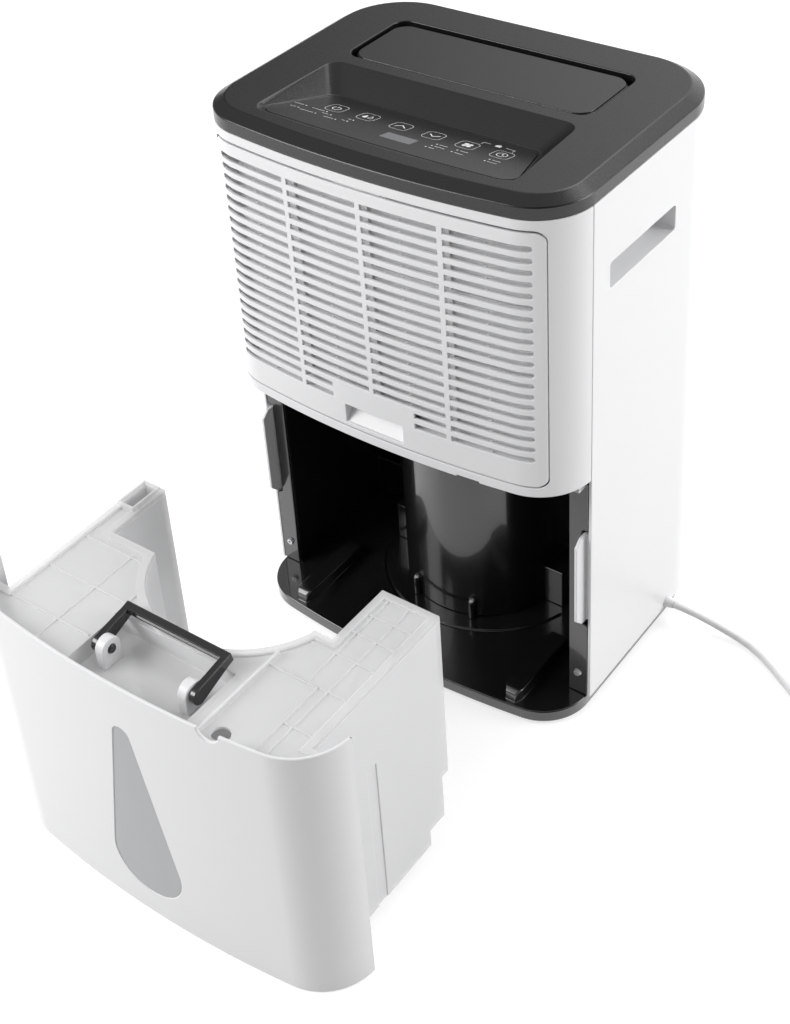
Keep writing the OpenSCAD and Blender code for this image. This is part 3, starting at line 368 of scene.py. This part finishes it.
def finished(node, body, material, radius=0.0005, steps=2):
    """Copies a node, rounds its edges and evens its shading; the copy stands for the node."""
    mesh = nodes[node].data.copy()
    tool = bmesh.new()
    tool.from_mesh(mesh)
    bmesh.ops.remove_doubles(tool, verts=tool.verts, dist=SAME_POINT)
    bmesh.ops.dissolve_limit(tool, angle_limit=SAME_PLANE, verts=tool.verts, edges=tool.edges)
    tool.to_mesh(mesh)
    tool.free()
    mesh.materials.clear()
    mesh.materials.append(material)
    mesh.shade_smooth()
    mesh.set_sharp_from_angle(angle=CREASE)
    piece = bpy.data.objects.new(node + "_moulding", mesh)
    scene.collection.objects.link(piece)
    rounding = piece.modifiers.new("edge_radius", "BEVEL")
    rounding.width = radius
    rounding.segments = steps
    rounding.limit_method = "ANGLE"
    rounding.angle_limit = CREASE
    rounding.use_clamp_overlap = False
    rounding.miter_outer = "MITER_ARC"
    rounded = bpy.data.meshes.new_from_object(piece.evaluated_get(bpy.context.evaluated_depsgraph_get()))
    piece.modifiers.remove(rounding)
    refilled(rounded)
    piece.data = rounded
    evening = piece.modifiers.new("even_shading", "WEIGHTED_NORMAL")
    evening.keep_sharp = True
    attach(piece, body)
    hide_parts(node)


gloss_black = moulding("gloss_black", (0.0085, 0.0085, 0.009), 0.22, grain=0.0012, relief=0.015, drift=0.05,
                       coat=0.7)
dress("rubber_feet", moulding("foot_rubber", (0.028, 0.028, 0.028), 0.8, grain=0.0008, relief=0.3))
finished("base_tray", "machine", gloss_black, radius=0.001)


# ---- outer housings -------------------------------------------------------------------------------
# Two white mouldings meet in a line down each side: the front one carries the grille, the rear one
# wraps the sides and back. Plated screws join them, and the clips are clear plastic.
white_shell = moulding("white_shell", (0.76, 0.763, 0.768), 0.38, grain=0.0005, relief=0.03, drift=0.015)
finished("front_housing", "machine", white_shell)
finished("rear_housing", "machine", white_shell)
zinc = moulding("zinc", (0.5, 0.5, 0.51), 0.35, grain=0.0003, relief=0.1, metal=1.0)
dress("housing_screws", zinc)
dress("panel_clips", moulding("clear_clip", (0.8, 0.82, 0.84), 0.3, through=0.6))


# ---- tank bay -------------------------------------------------------------------------------------
# Behind the tank is a glossy black liner with a round bulge over the compressor. Two posts in
# front of the bulge and the flanges at the sides take its screws.
finished("bay_liner", "machine", gloss_black, radius=0.001)
dress("liner_screws", zinc)


# ---- works inside ---------------------------------------------------------------------------------
# Compressor, coils, fan and electrics sit behind the shells and show only through the grille and
# the outlet. They have plain working finishes: enamel, mill aluminium, copper and grey mouldings.
enamel = moulding("black_enamel", (0.016, 0.016, 0.018), 0.35, grain=0.0015, relief=0.1, coat=0.3)
fin_metal = moulding("fin_metal", (0.62, 0.64, 0.65), 0.35, grain=0.0012, relief=0.4, metal=1.0)
copper = moulding("copper_tube", (0.72, 0.36, 0.22), 0.3, grain=0.001, relief=0.08, drift=0.2, metal=1.0)
works_grey = moulding("works_grey", (0.72, 0.73, 0.74), 0.5, grain=0.0007, relief=0.1)
matt_black = moulding("matt_black", (0.018, 0.018, 0.019), 0.6, grain=0.0007, relief=0.2)
for node in ("compressor", "suction_accumulator", "fan_motor"):
    dress(node, enamel)
for node in ("evaporator", "condenser"):
    dress(node, fin_metal)
for node in ("drip_tray", "fan_scroll", "electrics_box", "run_capacitor", "humidity_sensor", "flap_motor",
             "drain_port"):
    dress(node, works_grey)
for node in ("fan_wheel", "outlet_guard", "float_sensor", "drain_cap", "lid_gasket"):
    dress(node, matt_black)
dress("refrigerant_pipes", copper)
dress("compressor_mounts", moulding("mount_rubber", (0.022, 0.022, 0.022), 0.85, grain=0.001, relief=0.3))
dress("control_board", moulding("solder_mask", (0.01, 0.12, 0.05), 0.3, grain=0.0004, relief=0.1))


# ---- lid and controls -----------------------------------------------------------------------------
# A charcoal lid with a bevelled rim, finely grained. A hollow in front slopes down to a separate
# key sheet, flush in its pocket, with the marks of the keys and lamps printed in pale grey.
charcoal = moulding("charcoal_lid", (0.008, 0.008, 0.0085), 0.27, grain=0.00045, relief=0.12, drift=0.05)
finished("top_lid", "machine", charcoal, radius=0.0007)
key_sheet = moulding("key_sheet", (0.012, 0.012, 0.0125), 0.25, grain=0.0003, relief=0.06, drift=0.04)
dress("control_panel", key_sheet)
dress("display_window", moulding("display_lens", (0.16, 0.165, 0.17), 0.25, grain=0.0004, relief=0.02))

SHEET_FRONT_Y = -108            # front line of the sloping key sheet, in millimetres from the middle
SHEET_FRONT = Vector((0, MACHINE_MIDDLE_Y + SHEET_FRONT_Y/1000, 0.5085))
SHEET_SLOPE = math.radians(11.45)
PRINT_LIFT = 0.00006
MITRE_LIMIT = 0.35


def on_sheet(x, y):
    """Point of the key sheet, from level millimetres across and back from the machine's middle."""
    back = (y - SHEET_FRONT_Y)/math.cos(SHEET_SLOPE)/1000
    along = Vector((0, math.cos(SHEET_SLOPE), -math.sin(SHEET_SLOPE)))
    away = Vector((0, math.sin(SHEET_SLOPE), math.cos(SHEET_SLOPE)))
    return SHEET_FRONT + Vector((x/1000, 0, 0)) + along*back + away*PRINT_LIFT


printed = bmesh.new()


def stroke(points, width=0.55, closed=False):
    """Prints a line of the given width, in millimetres, mitred at its corners."""
    count = len(points)
    sides = []
    for i, (x, y) in enumerate(points):
        before = points[i - 1] if closed or i else points[i]
        after = points[(i + 1) % count] if closed or i < count - 1 else points[i]
        d1 = Vector((x - before[0], y - before[1]))
        d2 = Vector((after[0] - x, after[1] - y))
        d1 = d1.normalized() if d1.length else d2.normalized()
        d2 = d2.normalized() if d2.length else d1
        middle = (d1 + d2).normalized()
        across = Vector((-middle.y, middle.x))*(width/2/max(MITRE_LIMIT, middle.dot(d1)))
        sides.append([printed.verts.new(on_sheet(x + s*across.x, y + s*across.y)) for s in (-1, 1)])
    for i in range(count if closed else count - 1):
        a, b = sides[i], sides[(i + 1) % count]
        printed.faces.new((a[0], b[0], b[1], a[1]))


def round_points(x, y, radius, start=0, sweep=360, steps=20):
    """Points along an arc, with its start and its sweep in degrees."""
    return [(x + radius*math.cos(math.radians(start + sweep*i/steps)),
             y + radius*math.sin(math.radians(start + sweep*i/steps))) for i in range(steps + 1)]


def patch(points):
    """Prints a filled shape."""
    printed.faces.new([printed.verts.new(on_sheet(*point)) for point in points])


def key_outline(x, y, half, radius=4.2):
    """Prints the rounded square round a key."""
    corners = []
    for cx, cy, start in ((1, -1, -90), (1, 1, 0), (-1, 1, 90), (-1, -1, 180)):
        corners += round_points(x + cx*(half - radius), y + cy*(half - radius), radius, start, 90, 6)
    stroke(corners, 0.4, closed=True)


KEY_Y = -60.5
KEY_HALF = 7.8
key_spots = {"power": -73, "mode": -43, "more": -12, "less": 18, "speed": 48, "timer": 78}
for x in key_spots.values():
    key_outline(x, KEY_Y, KEY_HALF)
x = key_spots["power"]
stroke(round_points(x, KEY_Y - 0.3, 3.4, 125, 290, 18), 0.8)
stroke([(x, KEY_Y + 0.4), (x, KEY_Y + 4.2)], 0.8)
x = key_spots["mode"]
for dx, size in ((-2.6, 2.0), (2.6, 1.7)):
    drop = round_points(x + dx, KEY_Y - 1.2, size, 140, 260, 14) + [(x + dx, KEY_Y - 1.2 + 2.4*size)]
    if dx < 0:
        patch(drop)
    else:
        stroke(drop, 0.6, closed=True)
for name, way in (("more", 1), ("less", -1)):
    x = key_spots[name]
    stroke([(x - 4.6, KEY_Y - 2.0*way), (x, KEY_Y + 2.2*way), (x + 4.6, KEY_Y - 2.0*way)], 1.0)
x = key_spots["speed"]
for k in range(4):
    angle = 45 + 90*k
    middle = (x + 2.6*math.cos(math.radians(angle)), KEY_Y + 2.6*math.sin(math.radians(angle)))
    blade = [(x, KEY_Y)] + round_points(*middle, 1.9, angle - 110, 200, 10)
    patch(blade)
x = key_spots["timer"]
stroke(round_points(x, KEY_Y, 4.1, 0, 360, 24)[:-1], 0.7, closed=True)
stroke([(x, KEY_Y + 2.7), (x, KEY_Y), (x + 2.1, KEY_Y - 1.1)], 0.7)
# bracket and padlock that join the last two keys
stroke([(53, -50.5), (53, -46), (59, -46)], 0.5)
stroke([(72, -46), (80, -46), (80, -50.5)], 0.5)
patch([(63.4, -48.2), (68, -48.2), (68, -45), (63.4, -45)])
stroke(round_points(65.7, -45, 1.5, 0, 180, 8), 0.55)
# lamps of the settings, with a dash for each: its place across and back, and the length of the dash
LAMP_RADIUS = 0.75
DASH_GAP = 2.2
lamps = [(-94, -72, 9), (-95, -80, 6), (-73, -73, 12), (-66, -77, 6), (-77, -82, 13), (-57, -83, 9),
         (-46, -75, 3), (-48, -80, 3), (31, -75, 7), (30, -80, 9), (28, -85, 5), (49, -75, 7), (48, -81, 8),
         (77, -75, 7), (76, -80, 8)]
for x, y, dash in lamps:
    side = -1 if x < 0 else 1
    patch(round_points(x, y, LAMP_RADIUS, steps=14)[:-1])
    stroke([(x + side*DASH_GAP, y), (x + side*(DASH_GAP + dash), y)])
bmesh.ops.recalc_face_normals(printed, faces=printed.faces)
for face in printed.faces:
    if face.normal.z < 0:
        face.normal_flip()


def drawn(name, tool, material, body):
    """Makes a piece of a shape that was drawn face by face."""
    mesh = bpy.data.meshes.new(name)
    tool.to_mesh(mesh)
    tool.free()
    mesh.materials.append(material)
    piece = bpy.data.objects.new(name, mesh)
    scene.collection.objects.link(piece)
    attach(piece, body)
    return piece


pale_print = moulding("pale_print", (0.72, 0.73, 0.74), 0.55, grain=0.0002, relief=0.02)
drawn("key_marks", printed, pale_print, "machine")


# ---- outlet flap ----------------------------------------------------------------------------------
# One flat charcoal flap, a little glossier than the lid, closes the outlet. It turns on two pins near
# its back edge.
flap_charcoal = moulding("flap_charcoal", (0.008, 0.008, 0.0085), 0.22, shine=0.6, grain=0.00045, relief=0.1,
                         drift=0.04)
finished("outlet_flap", "flap", flap_charcoal, radius=0.0006)


# ---- grille ---------------------------------------------------------------------------------------
# One curved white moulding with four bays of slots. It lifts away from its foot by the scoop and
# turns on two pins at its top edge.
finished("filter_grille", "grille", white_shell, radius=0.0004)


# ---- filter frame and rim -------------------------------------------------------------------------
# A white frame on the grille's back holds the net. A thin rim round it closes the gap to the grille
# at the sides and below the slots, apart from the scoop.
dress("filter_frame", white_shell)
NET_INSET = 0.0005
RIM_STEPS = 60
RIM_DEPTH = 0.0098
RIM_WALL = 0.0008
RIM_LOW = 0.2806
RIM_OVER_NET, RIM_UNDER_NET = 0.003, 0.004
WALL_FORWARD = 0.0012
SCOOP_HALF = 0.036
low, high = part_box("filter_mesh")
front_edge = {}
for v in nodes["filter_mesh"].data.vertices:
    spot = round(v.co.x, 3)
    front_edge[spot] = min(v.co.y, front_edge.get(spot, v.co.y))
stations = sorted(front_edge)


def net_line(x):
    """Where the curved net lies, front to back, at x."""
    k = max(1, min(len(stations) - 1, sum(1 for spot in stations if spot < x)))
    a, b = stations[k - 1], stations[k]
    share = min(1.0, max(0.0, (x - a)/(b - a)))
    return front_edge[a] + (front_edge[b] - front_edge[a])*share + NET_INSET


rim = bmesh.new()


def rim_plate(corners, thickness):
    """Closed plate with the given corners, thickened by the given vector."""
    near = [rim.verts.new(c) for c in corners]
    far = [rim.verts.new(c + thickness) for c in corners]
    rim.faces.new(near)
    rim.faces.new(far[::-1])
    for k in range(len(near)):
        rim.faces.new((near[k - 1], near[k], far[k], far[k - 1]))


reach = [high[0]*(2*k/RIM_STEPS - 1) for k in range(RIM_STEPS + 1)]
back_line = [Vector((x, net_line(x), 0)) for x in reach]
front_line = []
for k, spot in enumerate(back_line):
    along = back_line[min(RIM_STEPS, k + 1)] - back_line[max(0, k - 1)]
    front_line.append(spot + Vector((along.y, -along.x, 0)).normalized()*RIM_DEPTH)
foot = Vector((0, 0, RIM_LOW))
head = Vector((0, 0, high[2] + RIM_OVER_NET))
wall_foot = Vector((0, -WALL_FORWARD, RIM_LOW))
wall_head = Vector((0, -WALL_FORWARD, low[2] - RIM_UNDER_NET))
for k in range(RIM_STEPS):
    if abs(reach[k]) < SCOOP_HALF or abs(reach[k + 1]) < SCOOP_HALF:
        continue
    near, far = back_line[k], back_line[k + 1]
    shelf = [near + foot, far + foot, front_line[k + 1] + foot, front_line[k] + foot]
    rim_plate(shelf, Vector((0, 0, RIM_WALL)))
    wall = [near + wall_foot, far + wall_foot, far + wall_head, near + wall_head]
    rim_plate(wall, Vector((0, RIM_WALL, 0)))
for k, inward in ((0, RIM_WALL), (RIM_STEPS, -RIM_WALL)):
    side = [back_line[k] + foot, front_line[k] + foot, front_line[k] + head, back_line[k] + head]
    rim_plate(side, Vector((inward, 0, 0)))
bmesh.ops.recalc_face_normals(rim, faces=rim.faces)
drawn("filter_rim", rim, white_shell, "grille")


# ---- filter net -----------------------------------------------------------------------------------
# A net of fine grey mesh is held in the frame. It follows the grille's curve, a little slack, and
# the holes between its threads are painted a darker grey: painted shade of the works seen through them.
def woven_net_group():
    """Plain weave of round threads: height of the threads, and a mask of the holes between them for their
    painted shade.
    """
    group, given, made = shader_group("woven_net", [("Pitch", "Float", 0.001)],
                                      [("Height", "Float"), ("Hole_Shade", "Float")])
    place = group.nodes.new("ShaderNodeTexCoord")
    split = group.nodes.new("ShaderNodeSeparateXYZ")
    group.links.new(place.outputs["Object"], split.inputs[0])
    threads = []
    for axis in ("X", "Z"):
        turns = math_node(group, "DIVIDE", split.outputs[axis], given.outputs["Pitch"])
        wave = math_node(group, "SINE", math_node(group, "MULTIPLY", turns, 2*math.pi), 0.0)
        threads.append(math_node(group, "MULTIPLY", wave, 0.5))
    height = math_node(group, "MAXIMUM", threads[0], threads[1])
    group.links.new(height, made.inputs["Height"])
    group.links.new(math_node(group, "LESS_THAN", height, -0.1), made.inputs["Hole_Shade"])
    return group


net_grey = bpy.data.materials.new("filter_net")
net_grey.use_nodes = True
net_tree = net_grey.node_tree
net_shader = net_tree.nodes["Principled BSDF"]
weave = net_tree.nodes.new("ShaderNodeGroup")
weave.node_tree = woven_net_group()
weave.inputs["Pitch"].default_value = 0.0016
# the holes are painted darker grey: painted shade of the dark works seen through the solid net sheet
hole_shade = net_tree.nodes.new("ShaderNodeMix")
hole_shade.data_type = "RGBA"
hole_shade.inputs["A"].default_value = (0.86, 0.865, 0.87, 1)
hole_shade.inputs["B"].default_value = (0.62, 0.63, 0.64, 1)
net_tree.links.new(weave.outputs["Hole_Shade"], hole_shade.inputs["Factor"])
net_tree.links.new(hole_shade.outputs["Result"], net_shader.inputs["Base Color"])
bump = net_tree.nodes.new("ShaderNodeBump")
bump.inputs["Distance"].default_value = 0.0004
net_tree.links.new(weave.outputs["Height"], bump.inputs["Height"])
net_tree.links.new(bump.outputs["Normal"], net_shader.inputs["Normal"])
net_shader.inputs["Roughness"].default_value = 0.6

NET_COLUMNS, NET_ROWS = 48, 30
NET_SLACK = 0.0003
SLACK_ACROSS, SLACK_UP = 160, 190       # how fast the slack swells and sinks, in radians a metre
net_sheet = bmesh.new()
net_points = []
for row in range(NET_ROWS + 1):
    z = low[2] + (high[2] - low[2])*row/NET_ROWS
    line = []
    for column in range(NET_COLUMNS + 1):
        across = 2*column/NET_COLUMNS - 1
        x = across*high[0]
        y = net_line(x) + NET_SLACK*math.sin(x*SLACK_ACROSS)*math.sin(z*SLACK_UP)
        line.append(net_sheet.verts.new((x, y, z)))
    net_points.append(line)
for lower, upper in zip(net_points, net_points[1:]):
    for k in range(NET_COLUMNS):
        net_sheet.faces.new((lower[k], lower[k + 1], upper[k + 1], upper[k]))
net_piece = drawn("filter_net", net_sheet, net_grey, "grille")
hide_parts("filter_mesh")


# ---- water tank -----------------------------------------------------------------------------------
# The tank is milky polypropylene with an opaque white cover over its front and a grey drop-shaped
# window in it. The lid carries ribs, a pocket for the black bail handle, the inlet tube and the
# pouring hole.
milky_body = moulding("milky_body", (0.84, 0.845, 0.85), 0.36, grain=0.0009, relief=0.03, drift=0.02,
                      clear=0.64)
milky_lid = moulding("milky_lid", (0.86, 0.863, 0.866), 0.3, grain=0.0009, relief=0.03, drift=0.02,
                     clear=0.5)
finished("tank_body", "tank", milky_body, radius=0.0004)
finished("tank_lid", "tank", milky_lid, radius=0.0004)
cover_white = moulding("cover_white", (0.72, 0.723, 0.728), 0.36, grain=0.0005, relief=0.03, drift=0.015)
finished("tank_cover", "tank", cover_white, radius=0.0007)
window_grey = moulding("window_grey", (0.44, 0.45, 0.455), 0.32, grain=0.0006, relief=0.03, through=0.25)
finished("level_window", "tank", window_grey, radius=0.0004)
finished("handle_brackets", "tank", cover_white, radius=0.0006)
finished("tank_handle", "handle", gloss_black, radius=0.0008, steps=3)
dress("tank_float", moulding("float_foam", (0.86, 0.86, 0.82), 0.75, grain=0.0016, relief=0.4))
